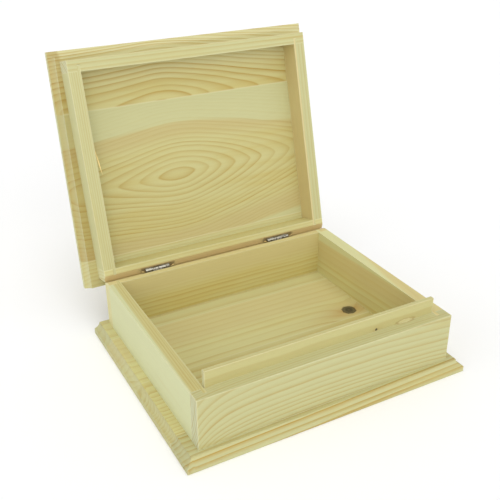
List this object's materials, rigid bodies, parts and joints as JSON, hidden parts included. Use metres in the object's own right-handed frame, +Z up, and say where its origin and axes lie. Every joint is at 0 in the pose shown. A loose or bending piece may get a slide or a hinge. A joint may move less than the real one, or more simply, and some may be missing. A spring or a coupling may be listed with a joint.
{
  "type": "hinged wooden box",
  "caption": "Shallow rectangular pine box with moulded base and hinged lid boards, a front guide lip and pressed-in slot hinges, lid standing open on its stop.",
  "frame": {"origin": "centre of the base board's underside, which rests on a table or shelf", "axes": "+X to the right along the front, +Y to the back (hinge side), +Z up"},
  "size_m": [0.278, 0.3059, 0.2637],
  "materials": {
    "pine_base": "raw planed and sanded pine, unvarnished, matt",
    "pine_walls": "raw planed and sanded pine, unvarnished, matt",
    "pine_lip": "raw planed and sanded pine, unvarnished, matt",
    "pine_lid": "raw planed and sanded pine, unvarnished, matt",
    "pine_rails": "raw planed and sanded pine, unvarnished, matt",
    "hinge_steel": "stamped, zinc-plated steel, satin",
    "hinge_pin_steel": "bright drawn wire"
  },
  "bodies": {
    "box": {"base_stave_1": "pine_base", "base_stave_2": "pine_base", "base_stave_3": "pine_base", "base_stave_4": "pine_base", "front_board": "pine_walls", "back_board": "pine_walls", "left_board": "pine_walls", "right_board": "pine_walls", "front_lip": "pine_lip", "hinge_left_box_leaf": "hinge_steel", "hinge_right_box_leaf": "hinge_steel"},
    "lid": {"lid_stave_1": "pine_lid", "lid_stave_2": "pine_lid", "lid_stave_3": "pine_lid", "lid_front_rail": "pine_rails", "lid_back_rail": "pine_rails", "lid_left_rail": "pine_rails", "lid_right_rail": "pine_rails", "hinge_left_lid_leaf": "hinge_steel", "hinge_right_lid_leaf": "hinge_steel", "hinge_left_pin": "hinge_pin_steel", "hinge_right_pin": "hinge_pin_steel"}
  },
  "joints": [
    {"name": "lid_hinge", "type": "hinge", "parent": "box", "child": "lid", "pos_m": [0, 0.1049, 0.06015], "axis": [1, 0, 0], "range_deg": [0, 104.5]}
  ]
}
